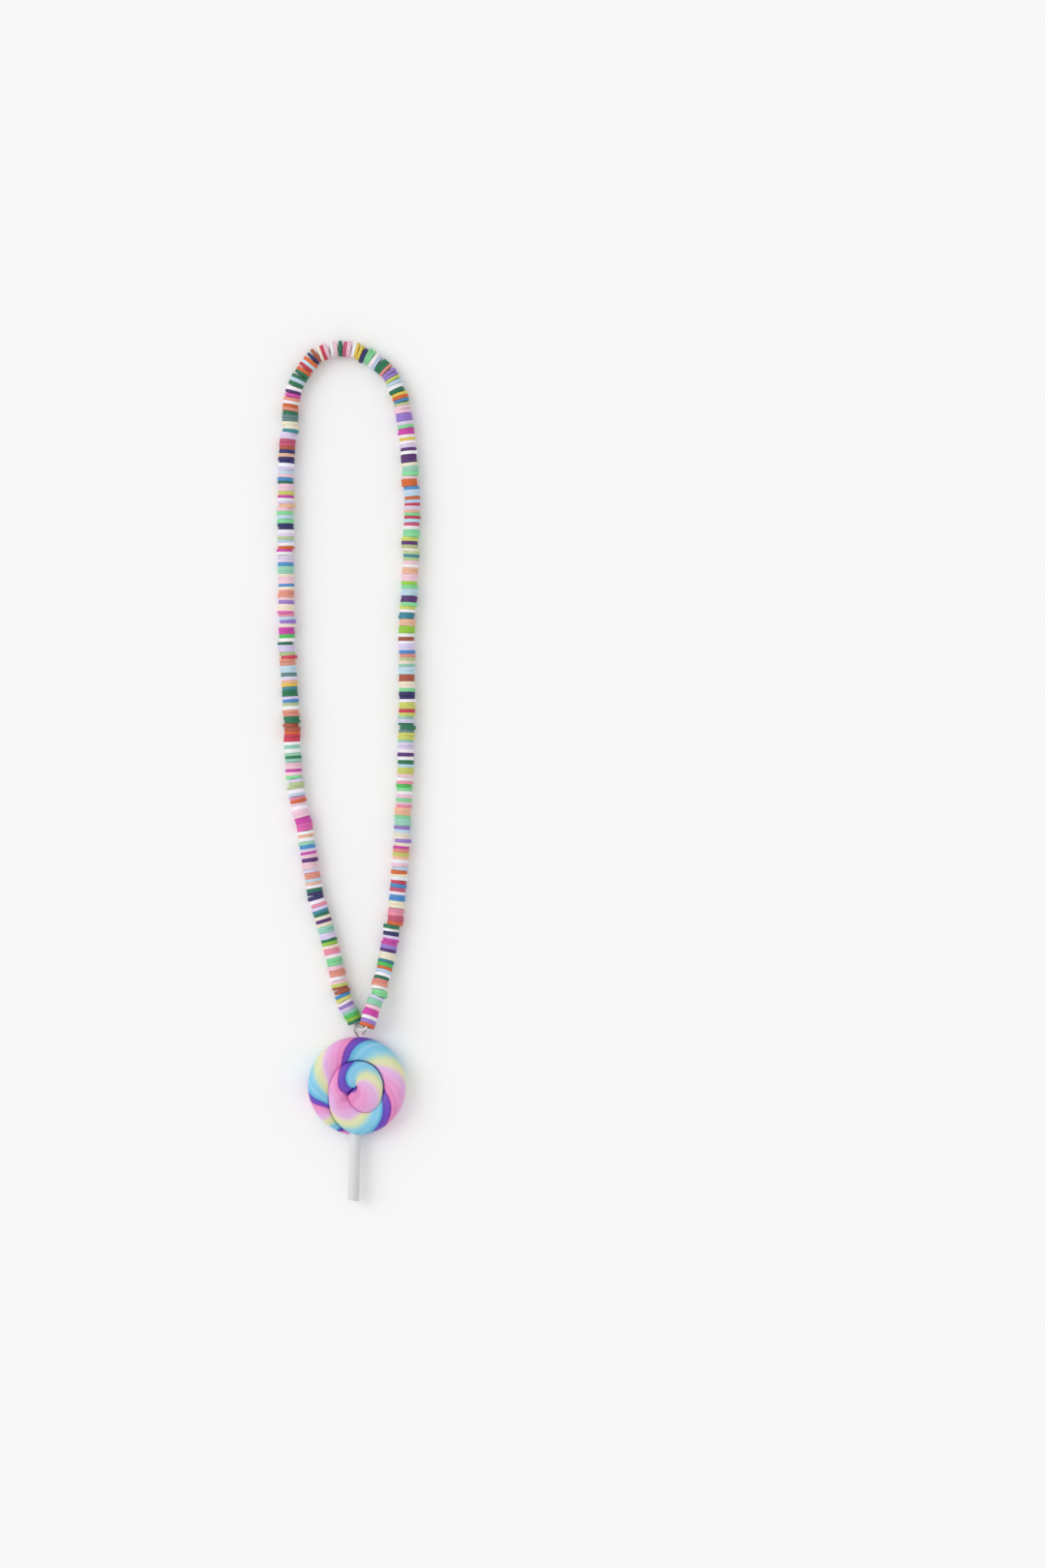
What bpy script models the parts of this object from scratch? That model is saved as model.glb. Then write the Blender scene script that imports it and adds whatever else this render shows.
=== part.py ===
"""Child's bead necklace with a swirl lollipop charm, lying flat with its shown side up.

Clay disc beads are strung on one closed elastic cord. The cord passes through the wire eye
of a clay lollipop on a white stick. Seen from above, +X is to the right, +Y runs from
the charm to the top of the loop, and +Z is up from the table.
"""

import math
import random

import bmesh
import bpy
from mathutils import Matrix, Vector

MM = 0.001

# Beads
BEAD_RADIUS = 3.0 * MM
BEAD_HOLE_RADIUS = 1.0 * MM
RUN_COUNT = 29
BEADS_IN_RUN = 14
BEADS_IN_DISC = 2
RUN_GAP = 0.3 * MM
DISC_SIDES = 8
SLIM_DISC_RADIUS = 2.82 * MM
SLIM_DISC_SHIFT = 0.12 * MM
FAN_OPENING = 1.2

# Strand route from the end by the charm's left, round the arch, to the end on its right
ROUTE_MM = [
    (2.45, -92.0),
    (1.35, -89.3),
    (-0.4, -85.5),
    (-2.6, -80.8),
    (-4.0, -75.4),
    (-6.4, -64.7),
    (-9.4, -54.2),
    (-12.6, -43.6),
    (-15.9, -22.7),
    (-19.2, -7.7),
    (-20.6, 9.3),
    (-21.7, 30.3),
    (-22.8, 51.3),
    (-23.0, 78.3),
    (-23.1, 100.3),
    (-22.3, 119.3),
    (-20.5, 136.3),
    (-17.4, 144.5),
    (-12.4, 150.9),
    (-7.6, 153.3),
    (-2.3, 154.0),
    (3.2, 153.0),
    (8.7, 150.2),
    (13.2, 146.4),
    (16.4, 141.5),
    (19.0, 134.3),
    (21.4, 119.3),
    (23.1, 97.3),
    (22.4, 74.3),
    (21.3, 52.3),
    (21.1, 25.3),
    (20.6, 0.3),
    (19.2, -24.7),
    (17.9, -43.6),
    (14.6, -64.7),
    (11.9, -75.4),
    (10.65, -81.4),
    (9.15, -85.3),
    (7.85, -88.9),
    (6.5, -93.1),
]
ROUTE_STEPS = 24
BEND_WINDOW = 5.0 * MM

# The right end rides up over the left one, so that the cord crosses the eye from below
RIGHT_END_RISE = 4.8 * MM
RISE_LENGTH = 30.0 * MM
RISE_START = 0.3

# Elastic cord, and its way through the eye between the two ends of the strand
CORD_DIAMETER = 0.8 * MM
CORD_STEP = 14.0 * MM
CORD_TURN = math.radians(12.0)
CORD_THROUGH_EYE_MM = [
    (6.3, -93.7, 7.75),
    (5.65, -94.2, 6.75),
    (4.65, -94.45, 5.15),
    (3.9, -94.3, 3.95),
    (3.2, -93.6, 3.15),
    (2.75, -92.8, 2.95),
]

# Lollipop head
HEAD_X = 3.03 * MM
HEAD_Y = -114.9 * MM
HEAD_RADIUS = 17.9 * MM
HEAD_TOP_INNER = 9.5 * MM
HEAD_TOP_OUTER = 8.7 * MM
HEAD_MIDDLE = 4.4 * MM
CREASE_LEVEL = 6.4 * MM
HEAD_RIM_RING = (17.4 * MM, 1.7 * MM)
HEAD_BACK_RADIUS = 16.2 * MM
STEPS_IN_TURN = 40
STEPS_ACROSS = 6

# Crease between the coils: angle in degrees, distance from the centre as a share of the radius
CREASE = [
    (205.0, 0.0),
    (214.0, 0.12),
    (226.0, 0.27),
    (244.0, 0.34),
    (262.0, 0.43),
    (280.0, 0.53),
    (296.0, 0.585),
    (318.0, 0.585),
    (340.0, 0.56),
    (375.0, 0.55),
    (415.0, 0.55),
    (455.0, 0.53),
    (510.0, 0.53),
    (535.0, 0.56),
    (558.0, 0.61),
    (575.0, 0.69),
    (602.0, 0.86),
    (628.0, 1.0),
]
CREASE_FALL_START = 575.0

# Stick
STICK_RADIUS = 2.1 * MM
STICK_TOP = (2.52 * MM, -123.7 * MM)
STICK_BOTTOM = (1.67 * MM, -156.65 * MM)
STICK_SIDES = 16
STICK_CUT_SLANT = math.radians(8.0)
SOCKET_GAP = 0.3 * MM

# Wire eye: a ring with its shank down into the head
EYE_X = 4.0 * MM
EYE_Y = -94.3 * MM
EYE_Z = 4.2 * MM
EYE_RING_RADIUS = 1.97 * MM
EYE_WIRE_RADIUS = 0.41 * MM
EYE_SHANK_LENGTH = 6.0 * MM
EYE_OPEN_ANGLE = math.radians(28.0)
EYE_STEPS = 20
EYE_SIDES = 8

# Colours as red, green, blue from 0 to 1
BEAD_COLOURS = {
    "white": (0.93, 0.92, 0.91),
    "pale_pink": (0.92, 0.76, 0.80),
    "pale_lilac": (0.84, 0.80, 0.91),
    "pale_blue": (0.72, 0.83, 0.93),
    "mint": (0.42, 0.80, 0.52),
    "dark_green": (0.12, 0.42, 0.28),
    "golden_yellow": (0.86, 0.70, 0.25),
    "lime_yellow": (0.75, 0.84, 0.33),
    "orange": (0.84, 0.36, 0.16),
    "peach": (0.93, 0.70, 0.56),
    "rose": (0.78, 0.32, 0.44),
    "magenta": (0.82, 0.23, 0.66),
    "lilac": (0.60, 0.44, 0.82),
    "navy": (0.20, 0.16, 0.42),
    "sky_blue": (0.27, 0.55, 0.83),
    "teal": (0.20, 0.55, 0.60),
}
HEAD_COLOUR = (0.88, 0.55, 0.80)
STICK_COLOUR = (0.90, 0.90, 0.90)
EYE_COLOUR = (0.72, 0.72, 0.72)
CORD_COLOUR = (0.90, 0.90, 0.88)
CLAY_ROUGHNESS = 0.55

SEED = 7


def clear_scene():
    for item in list(bpy.data.objects):
        bpy.data.objects.remove(item, do_unlink=True)


def material(name, colour, roughness, metallic=0.0):
    made = bpy.data.materials.new(name)
    made.use_nodes = True
    shader = made.node_tree.nodes["Principled BSDF"]
    shader.inputs["Base Color"].default_value = (*colour, 1.0)
    shader.inputs["Roughness"].default_value = roughness
    shader.inputs["Metallic"].default_value = metallic
    made.diffuse_color = (*colour, 1.0)
    return made


def place(name, data, finish):
    item = bpy.data.objects.new(name, data)
    data.materials.append(finish)
    bpy.context.scene.collection.objects.link(item)
    return item


def mesh_object(name, bm, finish, smooth_angle=None):
    bmesh.ops.recalc_face_normals(bm, faces=bm.faces[:])
    mesh = bpy.data.meshes.new(name)
    bm.to_mesh(mesh)
    bm.free()
    if smooth_angle is not None:
        mesh.shade_smooth()
        mesh.set_sharp_from_angle(angle=smooth_angle)
    return place(name, mesh, finish)


def skin(bm, rings, looped=False):
    """Joins each ring of points to the next with four-sided faces."""
    loops = [[bm.verts.new(point) for point in ring] for ring in rings]
    pairs = list(zip(loops, loops[1:]))
    if looped:
        pairs.append((loops[-1], loops[0]))
    for one, two in pairs:
        for i in range(len(one)):
            j = (i + 1) % len(one)
            bm.faces.new((one[i], one[j], two[j], two[i]))
    return loops


def smooth_through(points, steps):
    """A smooth open curve through the points, read at a few places in each span."""
    ends = [points[0] * 2 - points[1], *points, points[-1] * 2 - points[-2]]
    curve = []
    for a, b, c, d in zip(ends, ends[1:], ends[2:], ends[3:]):
        for k in range(steps):
            t = k / steps
            slope_b = (c - a) * 0.5
            slope_c = (d - b) * 0.5
            curve.append(
                b * (2 * t**3 - 3 * t**2 + 1)
                + slope_b * (t**3 - 2 * t**2 + t)
                + c * (3 * t**2 - 2 * t**3)
                + slope_c * (t**3 - t**2)
            )
    curve.append(points[-1].copy())
    return curve


CREASE_LINE = smooth_through([Vector((*point, 0.0)) for point in CREASE], ROUTE_STEPS)


def ease(share):
    share = min(max(share, 0.0), 1.0)
    return share * share * (3 - 2 * share)


def rise_share(share):
    """Height of the rising end, from 0 to 1: a bend at its start, then a straight slope."""
    share = min(max(share, 0.0), 1.0)
    if share < RISE_START:
        return share * share / (2 * RISE_START) / (1 - RISE_START / 2)
    return (share - RISE_START / 2) / (1 - RISE_START / 2)


class Strand:
    """The line through the bead holes, read by distance or by number of beads."""

    def __init__(self):
        flat = [Vector((x * MM, y * MM, 0.0)) for x, y in ROUTE_MM]
        self.line = smooth_through(flat, ROUTE_STEPS)
        self.far = self.distances()
        self.length = self.far[-1]
        for point, far in zip(self.line, self.far):
            rise = rise_share((far - self.length + RISE_LENGTH) / RISE_LENGTH)
            point.z = BEAD_RADIUS + RIGHT_END_RISE * rise
        self.far = self.distances()
        self.length = self.far[-1]
        self.counts = self.bead_counts()

    def distances(self):
        far = [0.0]
        for one, two in zip(self.line, self.line[1:]):
            far.append(far[-1] + (two - one).length)
        return far

    def between(self, known, wanted, value):
        """Reads wanted where known has the value, both growing along the line."""
        low, high = 0, len(known) - 1
        while high - low > 1:
            middle = (low + high) // 2
            if known[middle] <= value:
                low = middle
            else:
                high = middle
        share = (value - known[low]) / (known[high] - known[low])
        return wanted[low] + (wanted[high] - wanted[low]) * share

    def point(self, far):
        return self.between(self.far, self.line, far)

    def direction(self, far, reach=1.0 * MM):
        back = self.point(max(far - reach, 0.0))
        ahead = self.point(min(far + reach, self.length))
        return (ahead - back).normalized()

    def bend(self, far):
        """Turn in radians for each metre, averaged over a short stretch."""
        start = max(far - BEND_WINDOW, 0.0)
        end = min(far + BEND_WINDOW, self.length)
        return self.direction(start).angle(self.direction(end)) / (end - start)

    def bead_counts(self):
        """Beads touch on the inside of a bend, so fewer fit in a length of it."""
        counts = [0.0]
        for start, end in zip(self.far, self.far[1:]):
            spread = 1 + FAN_OPENING * BEAD_RADIUS * self.bend((start + end) / 2)
            counts.append(counts[-1] + (end - start) / spread)
        total = RUN_COUNT * BEADS_IN_RUN
        return [count * total / counts[-1] for count in counts]

    def far_at_bead(self, number):
        return self.between(self.counts, self.far, number)

    def ring(self, far, radius, shift=(0.0, 0.0)):
        """A ring of points square to the line, with one point straight down."""
        ahead = self.direction(far)
        side = ahead.cross(Vector((0, 0, 1))).normalized()
        up = side.cross(ahead)
        centre = self.point(far) + side * shift[0] + up * shift[1]
        turns = [math.tau * k / DISC_SIDES for k in range(DISC_SIDES)]
        return [centre + (up * math.cos(t) + side * math.sin(t)) * radius for t in turns]

    def stations(self, start, end, step, turn):
        """Places along a stretch, closer together where it bends, ends included."""
        pieces = 40
        places = [start]
        due = 0.0
        for k in range(1, pieces + 1):
            far = start + (end - start) * k / pieces
            length = (end - start) / pieces
            due += length / step + self.bend(far) * length / turn
            if due >= 1.0 and k < pieces:
                places.append(far)
                due = 0.0
        places.append(end)
        return places


def bead_run(strand, number, draw, finish):
    """Fourteen beads as seven stacked discs with a hole through them for the cord."""
    first = number * BEADS_IN_RUN
    edges = range(first, first + BEADS_IN_RUN + 1, BEADS_IN_DISC)
    far = [strand.far_at_bead(edge) for edge in edges]
    if number > 0:
        far[0] += RUN_GAP / 2
    if number < RUN_COUNT - 1:
        far[-1] -= RUN_GAP / 2
    rings = []
    for k, (start, end) in enumerate(zip(far, far[1:])):
        slim = k % 2 == 1
        radius = SLIM_DISC_RADIUS if slim else BEAD_RADIUS
        shift = (draw.uniform(-1, 1) * SLIM_DISC_SHIFT * slim, 0.0)
        rings.append(strand.ring(start, radius, shift))
        rings.append(strand.ring(end, radius, shift))
    hole = strand.stations(far[0], far[-1], CORD_STEP * 2, CORD_TURN)
    rings += [strand.ring(place, BEAD_HOLE_RADIUS) for place in reversed(hole)]
    bm = bmesh.new()
    skin(bm, rings, looped=True)
    return mesh_object(f"bead_run_{number + 1:02d}", bm, finish)


def elastic_cord(strand, finish):
    """One closed cord through every bead and through the eye."""
    places = [0.0]
    for number in range(RUN_COUNT):
        start = strand.far_at_bead(number * BEADS_IN_RUN)
        end = strand.far_at_bead((number + 1) * BEADS_IN_RUN)
        places += strand.stations(start, end, CORD_STEP * 2, CORD_TURN)[1:]
    points = [strand.point(far) for far in places]
    points += [Vector(point) * MM for point in CORD_THROUGH_EYE_MM]
    curve = bpy.data.curves.new("elastic_cord", "CURVE")
    curve.dimensions = "3D"
    curve.bevel_depth = CORD_DIAMETER / 2
    curve.bevel_resolution = 2
    spline = curve.splines.new("POLY")
    spline.points.add(len(points) - 1)
    for made, point in zip(spline.points, points):
        made.co = (*point, 1.0)
    spline.use_cyclic_u = True
    return place("elastic_cord", curve, finish)


def crease_radius(angle):
    """Distance of the crease from the head's centre, by the angle it has wound through."""
    if angle <= CREASE[0][0]:
        return 0.0
    if angle >= CREASE[-1][0]:
        return HEAD_RADIUS
    for one, two in zip(CREASE_LINE, CREASE_LINE[1:]):
        if angle <= two.x:
            return HEAD_RADIUS * one.lerp(two, (angle - one.x) / (two.x - one.x)).y


def crease_height(angle):
    """The crease falls to the widest line of the rim as it runs out to it."""
    fall = ease((angle - CREASE_FALL_START) / (CREASE[-1][0] - CREASE_FALL_START))
    return CREASE_LEVEL + (HEAD_MIDDLE - CREASE_LEVEL) * fall


def coil_section(angle):
    """Points across the rope at an angle, from its inner crease to its outer one."""
    inner = crease_radius(angle)
    outer = crease_radius(angle + 360.0)
    low_inner = crease_height(angle)
    low_outer = crease_height(angle + 360.0)
    out = ease(inner / (0.5 * HEAD_RADIUS))
    crown = HEAD_TOP_INNER + (HEAD_TOP_OUTER - HEAD_TOP_INNER) * out
    fullness = ease((outer - inner) / (0.3 * HEAD_RADIUS))
    section = []
    for k in range(STEPS_ACROSS + 1):
        across = (1 - math.cos(math.pi * k / STEPS_ACROSS)) / 2
        low = low_inner if across < 0.5 else low_outer
        height = low + (crown - low) * math.sin(math.pi * k / STEPS_ACROSS) * fullness
        radius = inner + (outer - inner) * across
        section.append(head_point(angle, radius, height))
    return section


def head_point(angle, radius, height):
    turn = math.radians(angle)
    return Vector((HEAD_X + radius * math.cos(turn), HEAD_Y + radius * math.sin(turn), height))


def lollipop_head(finish):
    """A rope of clay wound into a flat swirl, with a flat back and a round rim."""
    bm = bmesh.new()
    shared = {}

    def corner(point):
        key = tuple(round(value / MM, 3) for value in point)
        if key not in shared:
            shared[key] = bm.verts.new(point)
        return shared[key]

    def face(points):
        corners = list(dict.fromkeys(corner(point) for point in points))
        if len(corners) > 2:
            bm.faces.new(corners)

    step = 360.0 / STEPS_IN_TURN
    start = CREASE[0][0] - 360.0
    section_count = round((CREASE[-1][0] - start) / step) + 1
    sections = [coil_section(start + step * k) for k in range(section_count)]
    for one, two in zip(sections, sections[1:]):
        for k in range(STEPS_ACROSS):
            face((one[k], one[k + 1], two[k + 1], two[k]))

    rim_angles = [CREASE[-1][0] + step * k for k in range(STEPS_IN_TURN)]
    rim_levels = [(HEAD_RADIUS, HEAD_MIDDLE), HEAD_RIM_RING, (HEAD_BACK_RADIUS, 0.0)]
    rims = [[head_point(angle, *level) for angle in rim_angles] for level in rim_levels]
    for upper, lower in zip(rims, rims[1:]):
        for k in range(STEPS_IN_TURN):
            j = (k + 1) % STEPS_IN_TURN
            face((upper[k], lower[k], lower[j], upper[j]))
    face(rims[-1])
    return mesh_object("lollipop_head", bm, finish, smooth_angle=math.radians(50))


def rod(name, start, end, radius, sides, finish, slant=0.0):
    """A round rod from start to end, whose far end may be cut at a slant."""
    bm = bmesh.new()
    length = (end - start).length
    bmesh.ops.create_cone(
        bm, cap_ends=True, segments=sides, radius1=radius, radius2=radius, depth=length
    )
    for vertex in bm.verts:
        if vertex.co.z > 0:
            vertex.co.z += vertex.co.x * math.tan(slant)
    turn = (end - start).to_track_quat("Z", "Y").to_matrix().to_4x4()
    bmesh.ops.transform(
        bm, matrix=Matrix.Translation((start + end) / 2) @ turn, verts=bm.verts[:]
    )
    return mesh_object(name, bm, finish, smooth_angle=math.radians(40))


def stick_line():
    top = Vector((*STICK_TOP, HEAD_MIDDLE))
    bottom = Vector((*STICK_BOTTOM, HEAD_MIDDLE))
    return top, bottom


def eye_path():
    """Wire centre line: up the shank, then almost all the way round the ring."""
    foot = Vector((EYE_X, EYE_Y - EYE_RING_RADIUS - EYE_SHANK_LENGTH, EYE_Z))
    path = [foot]
    for k in range(EYE_STEPS + 1):
        turn = (math.tau - EYE_OPEN_ANGLE) * k / EYE_STEPS
        offset = Vector((-math.sin(turn), -math.cos(turn), 0.0)) * EYE_RING_RADIUS
        path.append(Vector((EYE_X, EYE_Y, EYE_Z)) + offset)
    return path


def wire_eye(finish):
    path = eye_path()
    up = Vector((0, 0, 1))
    rings = []
    for k, point in enumerate(path):
        back = path[max(k - 1, 0)]
        ahead = path[min(k + 1, len(path) - 1)]
        side = (ahead - back).cross(up).normalized()
        turns = [math.tau * i / EYE_SIDES for i in range(EYE_SIDES)]
        rings.append(
            [point + (up * math.cos(t) + side * math.sin(t)) * EYE_WIRE_RADIUS for t in turns]
        )
    bm = bmesh.new()
    loops = skin(bm, rings)
    bm.faces.new(loops[0])
    bm.faces.new(loops[-1])
    return mesh_object("wire_eye", bm, finish, smooth_angle=math.radians(50))


def cut(item, cutter):
    cutter.hide_render = True
    cutter.display_type = "WIRE"
    hole = item.modifiers.new(cutter.name, "BOOLEAN")
    hole.operation = "DIFFERENCE"
    hole.solver = "EXACT"
    hole.object = cutter


def build():
    clear_scene()
    draw = random.Random(SEED)
    strand = Strand()
    names = list(BEAD_COLOURS)
    for number in range(RUN_COUNT):
        name = names[number % len(names)]
        finish = material(f"bead_{name}_{number + 1:02d}", BEAD_COLOURS[name], CLAY_ROUGHNESS)
        bead_run(strand, number, draw, finish)
    elastic_cord(strand, material("elastic", CORD_COLOUR, 0.4))

    head = lollipop_head(material("lollipop_clay", HEAD_COLOUR, CLAY_ROUGHNESS))
    white = material("stick_white", STICK_COLOUR, 0.5)
    top, bottom = stick_line()
    rod("stick", top, bottom, STICK_RADIUS, STICK_SIDES, white, STICK_CUT_SLANT)
    wire_eye(material("eye_silver", EYE_COLOUR, 0.25, 1.0))

    deep = (top - bottom).normalized() * SOCKET_GAP
    socket = rod(
        "stick_socket", bottom, top + deep, STICK_RADIUS + SOCKET_GAP, STICK_SIDES, white
    )
    cut(head, socket)
    foot = eye_path()[0]
    shank_bore = rod(
        "shank_bore",
        Vector((EYE_X, EYE_Y, EYE_Z)),
        foot - Vector((0, SOCKET_GAP, 0)),
        EYE_WIRE_RADIUS + SOCKET_GAP,
        EYE_SIDES,
        white,
    )
    cut(head, shank_bore)


build()
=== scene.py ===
# Child's bead necklace with a swirl lollipop charm, laid flat and seen from straight above
import math
import random

import bmesh
import bpy
from mathutils import Matrix, Vector, noise


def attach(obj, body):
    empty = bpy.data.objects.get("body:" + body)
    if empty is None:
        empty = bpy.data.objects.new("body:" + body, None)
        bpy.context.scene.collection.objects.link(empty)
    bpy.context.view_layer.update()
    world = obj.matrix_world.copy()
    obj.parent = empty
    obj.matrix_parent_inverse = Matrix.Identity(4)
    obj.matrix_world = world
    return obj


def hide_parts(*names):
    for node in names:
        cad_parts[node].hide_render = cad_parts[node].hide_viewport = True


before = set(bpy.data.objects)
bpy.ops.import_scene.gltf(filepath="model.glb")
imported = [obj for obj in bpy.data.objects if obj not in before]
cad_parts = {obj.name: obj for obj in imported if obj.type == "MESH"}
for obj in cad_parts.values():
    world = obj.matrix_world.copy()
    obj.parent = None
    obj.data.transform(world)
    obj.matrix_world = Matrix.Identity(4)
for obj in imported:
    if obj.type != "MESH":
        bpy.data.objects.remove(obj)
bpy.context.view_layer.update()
mm = 0.001
print("frame loaded:", len(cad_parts), "nodes")


# Small helpers

def ease(share):
    share = min(max(share, 0.0), 1.0)
    return share * share * (3 - 2 * share)


def smoothThrough(points, steps):
    # a smooth open curve through the points, which are vectors or plain numbers
    ends = [points[0] * 2 - points[1], *points, points[-1] * 2 - points[-2]]
    curve = []
    for a, b, c, d in zip(ends, ends[1:], ends[2:], ends[3:]):
        for k in range(steps):
            t = k / steps
            curve.append(
                b * (2 * t**3 - 3 * t**2 + 1)
                + (c - a) * 0.5 * (t**3 - 2 * t**2 + t)
                + c * (3 * t**2 - 2 * t**3)
                + (d - b) * 0.5 * (t**3 - t**2)
            )
    curve.append(points[-1] * 1)
    return curve


def readAt(known, wanted, value):
    # wanted, where known has the value; known grows all the way
    low, high = 0, len(known) - 1
    while high - low > 1:
        middle = (low + high) // 2
        if known[middle] <= value:
            low = middle
        else:
            high = middle
    share = (value - known[low]) / (known[high] - known[low])
    return wanted[low] + (wanted[high] - wanted[low]) * share


def linearColour(red, green, blue):
    # a colour as a paint chart gives it, 0 to 255, in Blender's own scale
    return tuple(((v / 255 + 0.055) / 1.055) ** 2.4 if v > 10 else v / 3294.6 for v in (red, green, blue))


def finishPiece(piece, node):
    bpy.context.scene.collection.objects.link(piece)
    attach(piece, "root")
    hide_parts(node)


def meshPiece(name, bm, material, sharpAngle):
    mesh = bpy.data.meshes.new(name)
    bm.to_mesh(mesh)
    bm.free()
    mesh.shade_smooth()
    mesh.set_sharp_from_angle(angle=math.radians(sharpAngle))
    mesh.materials.append(material)
    return bpy.data.objects.new(name, mesh)


def tubePiece(name, points, radius, roundness, material):
    curve = bpy.data.curves.new(name, "CURVE")
    curve.dimensions = "3D"
    curve.bevel_depth = radius
    curve.bevel_resolution = roundness
    spline = curve.splines.new("POLY")
    spline.points.add(len(points) - 1)
    for made, point in zip(spline.points, points):
        made.co = (*point, 1.0)
    curve.materials.append(material)
    return bpy.data.objects.new(name, curve)


# Material helpers

def newMaterial(name):
    material = bpy.data.materials.new(name)
    material.use_nodes = True
    tree = material.node_tree
    return material, tree, tree.nodes["Principled BSDF"]


def addNode(tree, kind, **settings):
    node = tree.nodes.new(kind)
    for key, value in settings.items():
        setattr(node, key, value)
    return node


def addNoise(tree, scale, detail, roughness, where=None):
    # a noise on Object coordinates, or on the coordinates that where gives
    if where is None:
        where = addNode(tree, "ShaderNodeTexCoord").outputs["Object"]
    cloud = addNode(tree, "ShaderNodeTexNoise")
    cloud.inputs["Scale"].default_value = scale
    cloud.inputs["Detail"].default_value = detail
    cloud.inputs["Roughness"].default_value = roughness
    tree.links.new(where, cloud.inputs["Vector"])
    return cloud.outputs["Fac"]


def spread(tree, value, low, high):
    # turns a noise of about 0.3 to 0.7 into low to high
    span = addNode(tree, "ShaderNodeMapRange")
    span.inputs["From Min"].default_value = 0.3
    span.inputs["From Max"].default_value = 0.7
    span.inputs["To Min"].default_value = low
    span.inputs["To Max"].default_value = high
    tree.links.new(value, span.inputs["Value"])
    return span.outputs["Result"]


def addRelief(tree, shader, height, strength, depth):
    bump = addNode(tree, "ShaderNodeBump")
    bump.inputs["Strength"].default_value = strength
    bump.inputs["Distance"].default_value = depth
    tree.links.new(height, bump.inputs["Height"])
    tree.links.new(bump.outputs["Normal"], shader.inputs["Normal"])


def cloudyPaint(tree, shader, look):
    # colour and roughness that drift a little over the surface
    cloud = addNoise(tree, *look["cloud"])
    paint = addNode(tree, "ShaderNodeValToRGB")
    paint.color_ramp.elements[0].color = (*linearColour(*look["dark"]), 1.0)
    paint.color_ramp.elements[1].color = (*linearColour(*look["light"]), 1.0)
    tree.links.new(cloud, paint.inputs["Fac"])
    tree.links.new(paint.outputs["Color"], shader.inputs["Base Color"])
    tree.links.new(spread(tree, cloud, *look["roughness"]), shader.inputs["Roughness"])


def tinted(tree, colour, factor):
    # the colour times a number that varies over the surface
    tint = addNode(tree, "ShaderNodeVectorMath", operation="SCALE")
    tree.links.new(colour, tint.inputs[0])
    tree.links.new(factor, tint.inputs["Scale"])
    return tint.outputs["Vector"]


def colourRamp(tree, value, stops):
    ramp = addNode(tree, "ShaderNodeValToRGB")
    elements = ramp.color_ramp.elements
    while len(elements) < len(stops):
        elements.new(0.5)
    for element, (place, colour) in zip(elements, stops):
        element.position = place
        element.color = (*linearColour(*colour), 1.0)
    tree.links.new(value, ramp.inputs["Fac"])
    return ramp.outputs["Color"]


def paintedOver(tree, below, colour, share):
    # a Mix node has its colours on sockets 6 and 7 and its result on socket 2
    mix = addNode(tree, "ShaderNodeMix", data_type="RGBA")
    mix.inputs[7].default_value = (*linearColour(*colour), 1.0)
    tree.links.new(share, mix.inputs[0])
    tree.links.new(below, mix.inputs[6])
    return mix.outputs[2]


# The strand: where the beads lie

strand = {
    # centre line in mm, from the end by the charm's left round the arch to the end on its right
    "route": [
        (2.45, -92.0), (1.35, -89.3), (-0.4, -85.5), (-2.6, -80.8), (-4.0, -75.4),
        (-6.4, -64.7), (-9.4, -54.2), (-12.6, -43.6), (-15.9, -22.7), (-19.2, -7.7),
        (-20.6, 9.3), (-21.7, 30.3), (-22.8, 51.3), (-23.0, 78.3), (-23.1, 100.3),
        (-22.3, 119.3), (-20.5, 136.3), (-17.4, 144.5), (-12.4, 150.9), (-7.6, 153.3),
        (-2.3, 154.0), (3.2, 153.0), (8.7, 150.2), (13.2, 146.4), (16.4, 141.5),
        (19.0, 134.3), (21.4, 119.3), (23.1, 97.3), (22.4, 74.3), (21.3, 52.3),
        (21.1, 25.3), (20.6, 0.3), (19.2, -24.7), (17.9, -43.6), (14.6, -64.7),
        (11.9, -75.4), (10.65, -81.4), (9.15, -85.3), (7.85, -88.9), (6.5, -93.1),
    ],
    "routeSteps": 24,
    "bendWindow": 5.0 * mm,
    "endRise": 4.8 * mm,  # the right end rides up over the left one
    "riseLength": 30.0 * mm,
    "riseStart": 0.3,  # share of the rise in which it bends upwards; the rest is straight
    "runs": 29,
    "beadsInRun": 14,
    "fanOpening": 1.2,  # beads touch on the inside of a bend and open on its outside
    "straightBeads": (90, 110),  # between these two the strand is straight
}

bead = {
    "radius": 3.0 * mm,
    "holeRadius": 1.0 * mm,
    "crown": 0.12 * mm,  # how far the rim swells out
    "sides": 14,
    "sizeSpread": 0.035,
    "thicknessSpread": 0.2,
    "gap": 0.02 * mm,
    "outOfRound": 0.01,
    "sharpAngle": 30,  # degrees from which an edge stays crisp
    "groups": (1, 1, 2, 2, 3),  # beads that lie flat against each other, as often as listed
    "groupShift": 0.26 * mm,
    "beadShift": 0.12 * mm,
    "looseShare": 0.09,  # how many groups have slipped far
    "looseShift": 0.58 * mm,
    "tilt": 1.6,  # degrees by which a group leans at most
    "shade": (-0.07, 0.05),  # how much darker or lighter a bead is than its colour
    "hueSpread": 0.05,  # and how far its red, green and blue stray from that, each by itself
    "seed": 11,
}

beadCount = strand["runs"] * strand["beadsInRun"]


def riseShare(share):
    share = min(max(share, 0.0), 1.0)
    start = strand["riseStart"]
    if share < start:
        return share * share / (2 * start) / (1 - start / 2)
    return (share - start / 2) / (1 - start / 2)


def distancesAlong(line):
    far = [0.0]
    for one, two in zip(line, line[1:]):
        far.append(far[-1] + (two - one).length)
    return far


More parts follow.
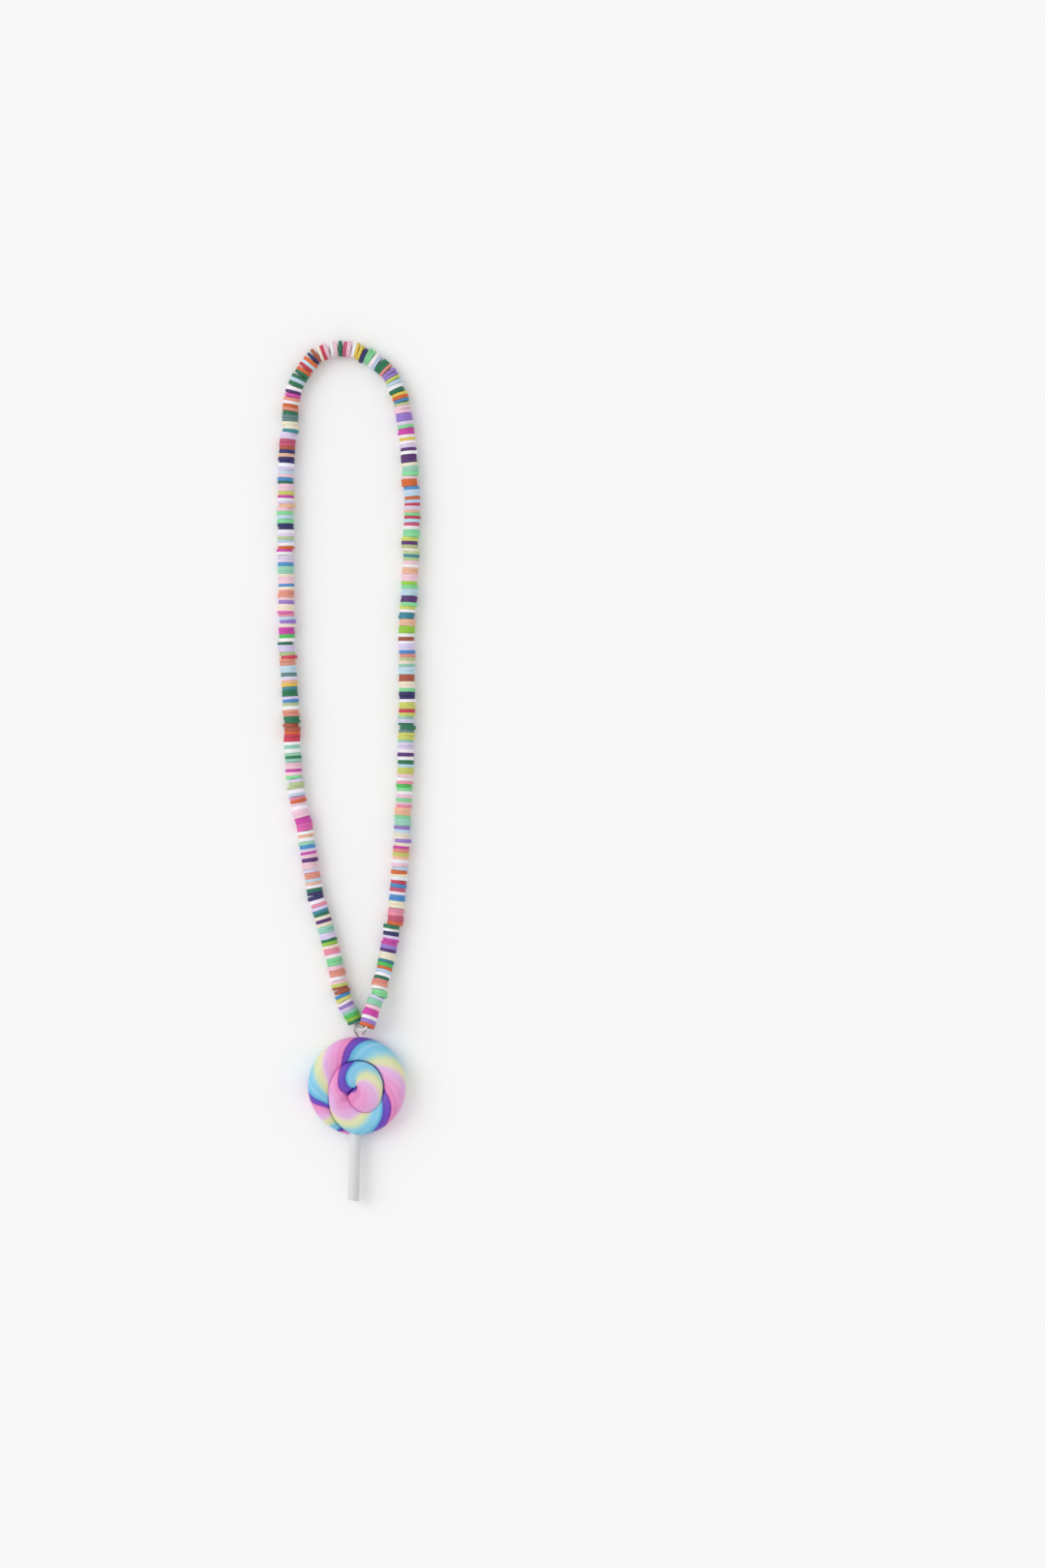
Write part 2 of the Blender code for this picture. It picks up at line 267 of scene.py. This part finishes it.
def directionAt(line, far, where, reach=1.0 * mm):
    back = readAt(far, line, max(where - reach, 0.0))
    ahead = readAt(far, line, min(where + reach, far[-1]))
    return (ahead - back).normalized()


def bendOf(line, far, where):
    start = max(where - strand["bendWindow"], 0.0)
    end = min(where + strand["bendWindow"], far[-1])
    return directionAt(line, far, start).angle(directionAt(line, far, end)) / (end - start)


def layStrand():
    # the strand's middle line, and for each of its points the way and the beads up to there
    line = [Vector((x * mm, y * mm, 0.0)) for x, y in strand["route"]]
    line = smoothThrough(line, strand["routeSteps"])
    far = distancesAlong(line)
    for point, where in zip(line, far):
        rise = riseShare((where - far[-1] + strand["riseLength"]) / strand["riseLength"])
        point.z = bead["radius"] + strand["endRise"] * rise
    far = distancesAlong(line)
    counts = [0.0]
    for start, end in zip(far, far[1:]):
        bend = bendOf(line, far, (start + end) / 2)
        counts.append(counts[-1] + (end - start) / (1 + strand["fanOpening"] * bead["radius"] * bend))
    return line, far, [count * beadCount / counts[-1] for count in counts]


def pitchBetween(start, end):
    return (readAt(lineCounts, lineFar, end) - readAt(lineCounts, lineFar, start)) / (end - start)


line, lineFar, lineCounts = layStrand()
straightPitch = pitchBetween(*strand["straightBeads"])
print("strand laid:", round(lineFar[-1] / mm, 1), "mm")


# The beads' colours and their order

clay = {
    # colour from 0 to 255 and how often it comes
    "white": ((240, 236, 242), 12),
    "palePink": ((236, 198, 211), 9),
    "paleLilac": ((217, 204, 232), 6),
    "paleBlue": ((190, 213, 232), 5),
    "ivory": ((234, 224, 202), 4),
    "peach": ((230, 180, 152), 6),
    "pink": ((227, 141, 164), 4),
    "salmon": ((220, 144, 128), 4),
    "mint": ((132, 214, 152), 6),
    "seaGreen": ((150, 204, 182), 5),
    "grassGreen": ((80, 186, 92), 2),
    "darkGreen": ((44, 116, 84), 6),
    "lime": ((202, 208, 106), 4),
    "leafGreen": ((146, 200, 66), 2),
    "sage": ((182, 196, 144), 3),
    "golden": ((224, 194, 80), 3),
    "orange": ((210, 102, 52), 5),
    "crimson": ((204, 62, 86), 4),
    "rose": ((194, 86, 116), 4),
    "hotPink": ((219, 97, 174), 4),
    "magenta": ((202, 70, 166), 5),
    "lilac": ((152, 121, 201), 4),
    "darkPurple": ((88, 50, 114), 3),
    "navy": ((50, 50, 104), 4),
    "skyBlue": ((76, 140, 200), 4),
    "teal": ((62, 132, 150), 2),
    "slate": ((98, 130, 130), 3),
    "brownRed": ((166, 86, 66), 3),
}

order = {
    "pale": ["white", "palePink", "paleLilac", "paleBlue", "ivory"],
    "groups": (1, 1, 1, 1, 2, 2),  # beads of one colour in a row, as often as listed
    "paleNext": 0.31,  # how often a pale group follows a strong one
    "seed": 8,
    # colours listed one by one, a name for each bead: up from the charm on each side
    "leftEnd": """darkGreen leafGreen grassGreen seaGreen paleLilac lilac white lime skyBlue
        brownRed brownRed lime palePink white salmon salmon palePink mint mint""",
    "rightEnd": """orange lilac white magenta magenta palePink seaGreen seaGreen paleLilac
        mint mint white salmon salmon darkGreen white paleBlue orange grassGreen teal""",
    # and over the top of the arch, from left to right
    "arch": """magenta darkPurple white darkGreen paleBlue darkGreen darkGreen orange crimson
        paleBlue orange navy brownRed ivory crimson palePink white palePink darkGreen rose
        palePink white golden golden navy mint mint white paleBlue darkGreen darkGreen salmon
        lilac lilac lime paleBlue white darkGreen golden orange skyBlue sage palePink palePink
        lilac lilac paleLilac mint magenta magenta white golden""",
    "archStart": 183,  # number of the first bead of that stretch
}


def drawColours():
    draw = random.Random(order["seed"])
    names = list(clay)
    weights = [clay[name][1] for name in names]
    colours = []
    last = "white"
    while len(colours) < beadCount:
        if last not in order["pale"] and draw.random() < order["paleNext"]:
            name = draw.choice(order["pale"])
        else:
            name = draw.choices(names, weights)[0]
        if name == last:
            continue
        colours += [name] * (1 if name == "white" else draw.choice(order["groups"]))
        last = name
    colours = colours[:beadCount]

    left, right, arch = (order[stretch].split() for stretch in ("leftEnd", "rightEnd", "arch"))
    colours[: len(left)] = left
    colours[beadCount - len(right):] = right[::-1]
    colours[order["archStart"] : order["archStart"] + len(arch)] = arch
    return colours


beadColours = drawColours()


# The beads

def makeBeadClay():
    look = {
        "mottle": (260, 4.0, 0.6),  # a noise, here and below: its scale, detail and roughness
        "shade": (0.95, 1.04),
        "roughness": (0.46, 0.62),
        "grain": (2400, 3.0, 0.6),
        "relief": (0.35, 0.05 * mm),  # the grain's strength and depth
        "specular": 0.35,
    }
    material, tree, shader = newMaterial("beadClay")
    paint = addNode(tree, "ShaderNodeAttribute", attribute_name="clayColour")
    mottle = addNoise(tree, *look["mottle"])
    colour = tinted(tree, paint.outputs["Color"], spread(tree, mottle, *look["shade"]))
    tree.links.new(colour, shader.inputs["Base Color"])
    tree.links.new(spread(tree, mottle, *look["roughness"]), shader.inputs["Roughness"])
    addRelief(tree, shader, addNoise(tree, *look["grain"]), *look["relief"])
    shader.inputs["Specular IOR Level"].default_value = look["specular"]
    return material


def beadPattern():
    # one bead round the Z axis: a closed outline of its section, spun round
    hole, rim, half = bead["holeRadius"], bead["radius"], straightPitch / 2
    edge = rim - bead["crown"]
    outline = [(hole, -half), (edge, -half), (rim, 0.0), (edge, half), (hole, half)]
    bm = bmesh.new()
    corners = [bm.verts.new((x, 0.0, z)) for x, z in outline]
    edges = [bm.edges.new((a, b)) for a, b in zip(corners, corners[1:] + corners[:1])]
    bmesh.ops.spin(
        bm, geom=corners + edges, cent=(0, 0, 0), axis=(0, 0, 1),
        angle=math.tau, steps=bead["sides"], use_merge=True,
    )
    bmesh.ops.recalc_face_normals(bm, faces=bm.faces[:])
    # spin lists its faces in another order each run, so they are sorted by their first corner
    bm.verts.index_update()
    bm.faces.sort(key=lambda face: face.verts[0].index)
    mesh = bpy.data.meshes.new("beadPattern")
    bm.to_mesh(mesh)
    bm.free()
    return mesh


def beadEdges(draw):
    # where each bead starts, counted in beads of even thickness; every run keeps its length
    edges = [0.0]
    for _ in range(strand["runs"]):
        count = strand["beadsInRun"]
        thick = [1 + draw.uniform(-1, 1) * bead["thicknessSpread"] for _ in range(count)]
        for one in thick:
            edges.append(edges[-1] + one * count / sum(thick))
    return edges


def placeGroup(draw, edges, first, size):
    # the beads of a group lie flat against each other, and the group tilts and slips as one
    tilt = math.radians(bead["tilt"])
    groupMiddle = (edges[first] + edges[first + size]) / 2
    middle = readAt(lineCounts, lineFar, groupMiddle)
    ahead = directionAt(line, lineFar, middle)
    side = ahead.cross(Vector((0, 0, 1))).normalized()
    up = side.cross(ahead)
    turn = Matrix((side, up, ahead)).transposed()
    lean = Matrix.Rotation(draw.uniform(-tilt, tilt), 3, up)
    lean = lean @ Matrix.Rotation(draw.uniform(-tilt, tilt), 3, side)
    slip = draw.uniform(-1, 1) * bead["groupShift"]
    if draw.random() < bead["looseShare"]:
        slip = math.copysign(bead["looseShift"], slip)
    places = []
    for number in range(first, first + size):
        scale = 1 + draw.uniform(-1, 1) * bead["sizeSpread"]
        along = ((edges[number] + edges[number + 1]) / 2 - groupMiddle) * straightPitch
        centre = readAt(lineFar, line, middle) + lean @ ahead * along
        centre += side * (slip + draw.uniform(-1, 1) * bead["beadShift"])
        centre += up * bead["radius"] * (scale - 1)  # every bead rests on the table
        flat = edges[number + 1] - edges[number] - bead["gap"] / straightPitch
        spin = Matrix.Rotation(draw.uniform(0, math.tau), 3, "Z")
        oval = 1 + draw.uniform(-1, 1) * bead["outOfRound"]
        form = Matrix.Diagonal((scale, scale * oval, flat))
        places.append(Matrix.Translation(centre) @ (lean @ turn @ spin @ form).to_4x4())
    return places


def placeBeads():
    draw = random.Random(bead["seed"])
    edges = beadEdges(draw)
    places = []
    while len(places) < beadCount:
        size = min(draw.choice(bead["groups"]), beadCount - len(places))
        places += placeGroup(draw, edges, len(places), size)
    return places


def drawShade(draw, name):
    shade = 1 + draw.uniform(*bead["shade"])
    colour = linearColour(*clay[name][0])
    return [min(v * (shade + draw.uniform(-1, 1) * bead["hueSpread"]), 1.0) for v in colour]


def addBead(bm, paint, pattern, place, colour):
    earlierVerts, earlierFaces = len(bm.verts), len(bm.faces)
    bm.from_mesh(pattern)
    bm.verts.ensure_lookup_table()
    bm.faces.ensure_lookup_table()
    bmesh.ops.transform(bm, matrix=place, verts=bm.verts[earlierVerts:])
    for face in bm.faces[earlierFaces:]:
        for corner in face.loops:
            corner[paint] = (*colour, 1.0)


def makeBeadRuns():
    material = makeBeadClay()
    pattern = beadPattern()
    places = placeBeads()
    draw = random.Random(bead["seed"] + 1)
    for run in range(strand["runs"]):
        bm = bmesh.new()
        paint = bm.loops.layers.float_color.new("clayColour")
        for number in range(run * strand["beadsInRun"], (run + 1) * strand["beadsInRun"]):
            addBead(bm, paint, pattern, places[number], drawShade(draw, beadColours[number]))
        piece = meshPiece(f"beads_{run + 1:02d}", bm, material, bead["sharpAngle"])
        finishPiece(piece, f"bead_run_{run + 1:02d}")
    bpy.data.meshes.remove(pattern)


makeBeadRuns()
print("beads strung:", len(beadColours))


# The elastic cord

elastic = {
    "diameter": 0.8 * mm,
    "spacing": 2.0 * mm,
    # its way through the eye, in mm, from the right end of the strand to the left one
    "throughEye": [
        (6.3, -93.7, 7.75), (5.65, -94.2, 6.75), (4.65, -94.45, 5.15),
        (3.9, -94.3, 3.95), (3.2, -93.6, 3.15), (2.75, -92.8, 2.95),
    ],
    "eyeSteps": 8,
    "roundness": 2,  # more makes its section rounder
    "cloud": (900, 2.0, 0.5),
    "dark": (232, 232, 230),
    "light": (250, 250, 248),
    "roughness": (0.22, 0.4),
}


def makeElastic():
    material, tree, shader = newMaterial("elasticThread")
    cloudyPaint(tree, shader, elastic)
    steps = round(lineFar[-1] / elastic["spacing"])
    points = [readAt(lineFar, line, lineFar[-1] * k / steps) for k in range(steps + 1)]
    turn = [points[-1], *(Vector(p) * mm for p in elastic["throughEye"]), points[0]]
    points += smoothThrough(turn, elastic["eyeSteps"])[1:-1]
    cord = tubePiece("elasticCord", points, elastic["diameter"] / 2, elastic["roundness"], material)
    cord.data.splines[0].use_cyclic_u = True
    finishPiece(cord, "elastic_cord")


makeElastic()
print("cord threaded")


# The lollipop head: a twisted clay rope wound into a flat swirl

swirl = {
    "centre": Vector((3.03 * mm, -114.9 * mm, 0.0)),
    "radius": 17.9 * mm,
    "middle": 4.4 * mm,  # height of the widest line of the rim
    "crownInner": 9.5 * mm,
    "crownOuter": 8.7 * mm,
    "creaseTop": 7.2 * mm,
    "creaseBack": 1.5 * mm,
    # the crease between the coils: angle wound in degrees, share of the head's radius
    "crease": [
        (205, 0.0), (214, 0.12), (226, 0.27), (244, 0.34), (262, 0.43), (280, 0.53),
        (296, 0.585), (318, 0.585), (340, 0.56), (375, 0.55), (415, 0.55), (455, 0.53),
        (510, 0.53), (535, 0.56), (558, 0.61), (575, 0.69), (602, 0.86), (628, 1.0),
    ],
    "creaseFall": 575,  # from this angle on the crease runs down to the rim
    "creaseSteps": 24,
    "fullness": 0.85,  # under 1 the rope is fuller than a half round
    "thinRope": 0.3,  # share of the head's radius below which the rope is thinner
    "crownChange": 0.5,  # and over which the crown goes from its inner to its outer height
    "stepsInTurn": 240,
    "stepsAcross": 40,
    # where the colours cross the rope: colour cycle (whole numbers are purple), then the angle
    # wound at the inner crease, a quarter, half and three quarters across, and at the outer crease
    "bands": [
        (5.10, (-158, -158, -158, -158, -158)),
        (5.06, (-152, -152, -152, -152, -152)),
        (4.94, (-60, -95, -133, -137, -141)),
        (4.49, (110, 80, 23, -20, -58)),
        (4.34, (135, 95, 75, 27, -20)),
        (4.20, (165, 140, 108, 72, 45)),
        (4.06, (210, 195, 144, 102, 91)),
        (3.94, (222, 218, 200, 144, 120)),
        (3.49, (284, 273, 259, 233, 210)),
        (3.34, (302, 290, 277, 254, 232)),
        (3.06, (337, 324, 309, 293, 285)),
        (2.94, (360, 347, 332, 312, 302)),
        (2.49, (418, 405, 390, 374, 358)),
        (2.34, (431, 422, 411, 397, 383)),
        (2.06, (474, 465, 455, 441, 426)),
        (1.94, (489, 480, 469, 457, 447)),
        (1.49, (544, 529, 513, 496, 483)),
        (1.34, (560, 549, 534, 517, 505)),
        (1.06, (574, 569, 560, 551, 543)),
        (0.94, (580, 576, 568, 561, 554)),
        (0.49, (589, 588, 587, 585, 583)),
        (0.34, (600, 598, 596, 594, 592)),
        (0.06, (610, 609, 607, 606, 605)),
        (-0.06, (614, 613, 611, 610, 609)),
        (-0.40, (640, 640, 640, 640, 640)),
    ],
    "backTwist": 60,  # degrees by which the stripes run on under the rope
    "lineFrom": -25,  # a thin line of dark purple clay, deepened by painted crease shade, follows the inner coil's outer edge between these angles
    "lineTo": 118,
    "lineAcross": 0.84,
    "lineFade": (15, 6, 0.08),  # degrees at its start and its end, and share across
    "unevenness": 0.12 * mm,  # the clay's surface swells and sinks by as much at most
    "unevenSize": 7.0 * mm,
    "flatBack": 0.5 * mm,  # and stays even up to this height
    "mergeWithin": 0.002 * mm,
    "smallestEdge": 0.001 * mm,
    "sharpAngle": 60,
}

creaseAngles = smoothThrough([float(angle) for angle, _ in swirl["crease"]], swirl["creaseSteps"])
creaseShares = smoothThrough([share for _, share in swirl["crease"]], swirl["creaseSteps"])
bandCycles = [cycle for cycle, _ in swirl["bands"]]
bandLines = [smoothThrough(row, swirl["stepsAcross"] // (len(row) - 1)) for _, row in swirl["bands"]]


def creaseRadius(angle):
    if angle <= swirl["crease"][0][0]:
        return 0.0
    if angle >= swirl["crease"][-1][0]:
        return swirl["radius"]
    return swirl["radius"] * readAt(creaseAngles, creaseShares, angle)


def creaseShareFallen(angle):
    return ease((angle - swirl["creaseFall"]) / (swirl["crease"][-1][0] - swirl["creaseFall"]))


def colourCycle(angle, across):
    # across goes on from 1 at the rim to 2 at the inner crease of the underside
    angles = [row[round(min(across, 1.0) * swirl["stepsAcross"])] for row in bandLines]
    angle += swirl["backTwist"] * max(across - 1, 0.0)
    return readAt(angles, bandCycles, angle)


# share of the thin line along the crease: dark purple clay with painted shade on top
def purpleAndShadeShare(angle, across):
    fadeIn, fadeOut, fadeAcross = swirl["lineFade"]
    along = ease((angle - swirl["lineFrom"]) / fadeIn) * ease((swirl["lineTo"] - angle) / fadeOut)
    return along * ease((across - swirl["lineAcross"]) / fadeAcross)


def swirlPoint(angle, across, top):
    # across runs from 0 at the inner crease to 1 at the outer one
    inner, outer = creaseRadius(angle), creaseRadius(angle + 360)
    radius = inner + (outer - inner) * (1 - math.cos(math.pi * across)) / 2
    edge = angle if across < 0.5 else angle + 360
    fallen = creaseShareFallen(edge)
    full = ease((outer - inner) / (swirl["thinRope"] * swirl["radius"]))
    swell = math.sin(math.pi * across) ** swirl["fullness"] * full
    if top:
        low = swirl["creaseTop"] + (swirl["middle"] - swirl["creaseTop"]) * fallen
        out = ease(inner / (swirl["crownChange"] * swirl["radius"]))
        crown = swirl["crownInner"] + (swirl["crownOuter"] - swirl["crownInner"]) * out
    else:
        low = swirl["creaseBack"] + (swirl["middle"] - swirl["creaseBack"]) * fallen
        crown = 0.0
    turn = math.radians(angle)
    height = low + (crown - low) * swell
    return swirl["centre"] + Vector((radius * math.cos(turn), radius * math.sin(turn), height))


def addSwirlSide(bm, ropeMap, purpleAndShadeLine, top):
    step = 360 / swirl["stepsInTurn"]
    start = swirl["crease"][0][0] - 360
    sections = round((swirl["crease"][-1][0] - start) / step)
    made = bmesh.ops.create_grid(bm, x_segments=sections, y_segments=swirl["stepsAcross"], size=1.0)
    where = {}
    for vertex in made["verts"]:
        angle = start + step * round((vertex.co.x + 1) / 2 * sections)
        across = round((vertex.co.y + 1) / 2 * swirl["stepsAcross"]) / swirl["stepsAcross"]
        where[vertex] = (angle, across)
    for face in {face for vertex in made["verts"] for face in vertex.link_faces}:
        for corner in face.loops:
            angle, across = where[corner.vert]
            around = across if top else 2 - across
            corner[ropeMap].uv = (around, colourCycle(angle, around))
            corner[purpleAndShadeLine] = purpleAndShadeShare(angle, across) if top else 0.0
    for vertex, (angle, across) in where.items():
        vertex.co = swirlPoint(angle, across, top)


def stripeCycle(tree, ropeMap, look):
    # the place in the colour cycle, from 0 to 1, with a slight wobble
    split = addNode(tree, "ShaderNodeSeparateXYZ")
    tree.links.new(ropeMap, split.inputs["Vector"])
    wobble = addNode(tree, "ShaderNodeMath", operation="MULTIPLY_ADD")
    wobble.inputs[1].default_value = look["wobble"]
    tree.links.new(addNoise(tree, *look["wobbleCloud"]), wobble.inputs[0])
    tree.links.new(split.outputs["Y"], wobble.inputs[2])
    cycle = addNode(tree, "ShaderNodeMath", operation="FRACT")
    tree.links.new(wobble.outputs["Value"], cycle.inputs[0])
    return cycle.outputs["Value"]


def makeSwirlClay():
    look = {
        # share of the colour cycle, colour from 0 to 255
        "stripes": [
            (0.0, (114, 72, 192)), (0.03, (102, 66, 184)), (0.055, (74, 72, 176)),
            (0.075, (100, 174, 222)), (0.12, (112, 192, 220)), (0.16, (146, 204, 234)),
            (0.20, (120, 192, 226)), (0.25, (136, 202, 228)), (0.30, (158, 208, 216)),
            (0.345, (196, 219, 194)), (0.39, (217, 223, 168)), (0.43, (225, 225, 182)),
            (0.46, (225, 220, 180)), (0.495, (231, 205, 206)), (0.54, (224, 182, 227)),
            (0.64, (230, 169, 217)), (0.70, (228, 157, 210)), (0.78, (233, 154, 204)),
            (0.84, (226, 136, 194)), (0.90, (232, 142, 196)), (0.928, (214, 112, 186)),
            (0.946, (112, 52, 156)), (0.972, (112, 70, 190)),
        ],
        # dark purple of that line, darker than the clay's purple as painted crease shade
        "line": (52, 44, 122),
        "wobble": 0.008,  # how far the stripes' edges stray, as a share of the cycle
        "wobbleCloud": (260, 1.0, 0.5),
        "streak": (0.95, 1.04),  # faint streaks follow the stripes
        "streakStretch": (0.8, 16.0, 1.0),
        "streakCloud": (1.6, 4.0, 0.5),
        "cloud": (300, 4.0, 0.6),
        "roughness": (0.40, 0.52),
        "grain": (1500, 3.0, 0.6),
        "relief": (0.25, 0.05 * mm),
        "specular": 0.4,
    }
    material, tree, shader = newMaterial("swirlClay")
    ropeMap = addNode(tree, "ShaderNodeUVMap", uv_map="Rope").outputs["UV"]
    cycle = stripeCycle(tree, ropeMap, look)
    purpleAndShadeLine = addNode(tree, "ShaderNodeAttribute", attribute_name="purpleAndShadeLine").outputs["Fac"]
    # the crease line is painted over the stripes: partly purple clay, partly painted shade
    colour = paintedOver(tree, colourRamp(tree, cycle, look["stripes"]), look["line"], purpleAndShadeLine)
    stretch = addNode(tree, "ShaderNodeMapping")
    stretch.inputs["Scale"].default_value = look["streakStretch"]
    tree.links.new(ropeMap, stretch.inputs["Vector"])
    streaks = addNoise(tree, *look["streakCloud"], where=stretch.outputs["Vector"])
    colour = tinted(tree, colour, spread(tree, streaks, *look["streak"]))
    tree.links.new(colour, shader.inputs["Base Color"])
    cloud = addNoise(tree, *look["cloud"])
    tree.links.new(spread(tree, cloud, *look["roughness"]), shader.inputs["Roughness"])
    addRelief(tree, shader, addNoise(tree, *look["grain"]), *look["relief"])
    shader.inputs["Specular IOR Level"].default_value = look["specular"]
    return material


def makeSwirlHead():
    bm = bmesh.new()
    ropeMap = bm.loops.layers.uv.new("Rope")
    purpleAndShadeLine = bm.loops.layers.float.new("purpleAndShadeLine")
    for top in (True, False):
        addSwirlSide(bm, ropeMap, purpleAndShadeLine, top)
    bmesh.ops.remove_doubles(bm, verts=bm.verts[:], dist=swirl["mergeWithin"])
    bmesh.ops.dissolve_degenerate(bm, edges=bm.edges[:], dist=swirl["smallestEdge"])
    bmesh.ops.recalc_face_normals(bm, faces=bm.faces[:])
    for vertex in bm.verts:
        if vertex.co.z > swirl["flatBack"]:
            swell = noise.noise(vertex.co / swirl["unevenSize"]) * swirl["unevenness"]
            vertex.co += vertex.normal * swell
    finishPiece(meshPiece("swirlHead", bm, makeSwirlClay(), swirl["sharpAngle"]), "lollipop_head")


makeSwirlHead()
print("lollipop head wound")


# The stick

stick = {
    "radius": 2.1 * mm,
    "top": Vector((2.52 * mm, -123.7 * mm, 4.4 * mm)),
    "bottom": Vector((1.67 * mm, -156.65 * mm, 4.4 * mm)),
    "cutSlant": 8.0,  # degrees
    "sides": 48,
    "edge": 0.25 * mm,
    "edgeSteps": 3,
    "sharpAngle": 40,
    "cloud": (180, 4.0, 0.6),
    "dark": (206, 206, 208),
    "light": (222, 222, 223),
    "roughness": (0.42, 0.56),
    "grain": (1200, 2.0, 0.5),
    "relief": (0.2, 0.04 * mm),
}


def makeStick():
    material, tree, shader = newMaterial("stickWhite")
    cloudyPaint(tree, shader, stick)
    addRelief(tree, shader, addNoise(tree, *stick["grain"]), *stick["relief"])

    way = stick["bottom"] - stick["top"]
    bm = bmesh.new()
    bmesh.ops.create_cone(
        bm, cap_ends=True, segments=stick["sides"],
        radius1=stick["radius"], radius2=stick["radius"], depth=way.length,
    )
    rims = [edge for edge in bm.edges if edge.calc_length() < stick["radius"]]
    bmesh.ops.bevel(
        bm, geom=rims, offset=stick["edge"], segments=stick["edgeSteps"], profile=0.5,
        affect="EDGES", material=-1,
    )
    for vertex in bm.verts:
        if vertex.co.z > 0:  # the lower end is cut aslant
            vertex.co.z += vertex.co.x * math.tan(math.radians(stick["cutSlant"]))
    turn = way.to_track_quat("Z", "Y").to_matrix().to_4x4()
    middle = (stick["top"] + stick["bottom"]) / 2
    bmesh.ops.transform(bm, matrix=Matrix.Translation(middle) @ turn, verts=bm.verts[:])
    finishPiece(meshPiece("stickRod", bm, material, stick["sharpAngle"]), "stick")


makeStick()
print("stick set")


# The wire eye

eye = {
    "centre": Vector((4.0 * mm, -94.3 * mm, 4.2 * mm)),
    "ringRadius": 1.97 * mm,
    "wireRadius": 0.41 * mm,
    # the way of its shank from inside the head to the ring, in mm from the ring's centre
    "shank": [(-0.5, -8.0), (-0.42, -4.2), (-0.5, -3.1), (-0.82, -2.3)],
    "ringStart": 230.0,  # degrees; the ring runs clockwise and stays a little open
    "ringEnd": -62.0,
    "steps": 24,
    "smoothSteps": 4,
    "roundness": 4,
    "cloud": (700, 3.0, 0.5),
    "dark": (152, 150, 147),
    "light": (192, 190, 187),
    "roughness": (0.26, 0.4),
}


def makeEye():
    material, tree, shader = newMaterial("eyeSilver")
    cloudyPaint(tree, shader, eye)
    shader.inputs["Metallic"].default_value = 1.0

    points = [eye["centre"] + Vector((x * mm, y * mm, 0.0)) for x, y in eye["shank"]]
    for k in range(eye["steps"] + 1):
        turn = math.radians(eye["ringStart"] + (eye["ringEnd"] - eye["ringStart"]) * k / eye["steps"])
        points.append(eye["centre"] + Vector((math.cos(turn), math.sin(turn), 0)) * eye["ringRadius"])
    points = smoothThrough(points, eye["smoothSteps"])
    wire = tubePiece("wireEye", points, eye["wireRadius"], eye["roundness"], material)
    wire.data.use_fill_caps = True
    finishPiece(wire, "wire_eye")


makeEye()
print("eye bent")


# Table, light and camera

studio = {
    "paper": (250, 250, 250),
    "paperRoughness": 0.8,
    "paperSpecular": 0.2,
    "sky": 0.785,
    "keyPower": 0.95,
    "keySide": Vector((-0.8, 0.3, 0.75)),  # where the key light comes from
    "keyAngle": 45.0,  # degrees that it fills, for soft shadows
    "tableHalf": 9.0,  # metres
    "tableSteps": 8,
    "pixel": 0.353 * mm,  # real size of one pixel of the photograph at the necklace
    "pictureMiddle": Vector((63.35 * mm, -4.82 * mm, 4.0 * mm)),
    "pictureHeight": 1620,
    "lens": 100.0,
    "sensor": 36.0,
    "nearest": 0.01,  # metres from which the camera sees
}


def makeTable():
    bm = bmesh.new()
    steps = studio["tableSteps"]
    bmesh.ops.create_grid(bm, x_segments=steps, y_segments=steps, size=studio["tableHalf"])
    mesh = bpy.data.meshes.new("table")
    bm.to_mesh(mesh)
    bm.free()
    material, tree, shader = newMaterial("tablePaper")
    shader.inputs["Base Color"].default_value = (*linearColour(*studio["paper"]), 1.0)
    shader.inputs["Roughness"].default_value = studio["paperRoughness"]
    shader.inputs["Specular IOR Level"].default_value = studio["paperSpecular"]
    mesh.materials.append(material)
    table = bpy.data.objects.new("table", mesh)
    bpy.context.scene.collection.objects.link(table)


def makeLight():
    scene = bpy.context.scene
    scene.view_settings.view_transform = "Standard"
    world = bpy.data.worlds.new("softStudio")
    scene.world = world
    world.use_nodes = True
    sky = world.node_tree.nodes["Background"]
    sky.inputs["Color"].default_value = (1.0, 1.0, 1.0, 1.0)
    sky.inputs["Strength"].default_value = studio["sky"]

    key = bpy.data.lights.new("keyLight", "SUN")
    key.energy = studio["keyPower"]
    key.angle = math.radians(studio["keyAngle"])
    lamp = bpy.data.objects.new("keyLight", key)
    lamp.rotation_euler = (-studio["keySide"]).to_track_quat("-Z", "Y").to_euler()
    scene.collection.objects.link(lamp)


def makeCamera():
    camera = bpy.data.objects.new("camera", bpy.data.cameras.new("camera"))
    camera.data.lens = studio["lens"]
    camera.data.sensor_width = studio["sensor"]
    tall = studio["pictureHeight"] * studio["pixel"]
    back = tall * studio["lens"] / studio["sensor"]
    camera.location = studio["pictureMiddle"] + Vector((0, 0, back))
    camera.data.clip_start = studio["nearest"]
    bpy.context.scene.collection.objects.link(camera)
    bpy.context.scene.camera = camera


makeTable()
makeLight()
makeCamera()
print("studio set")
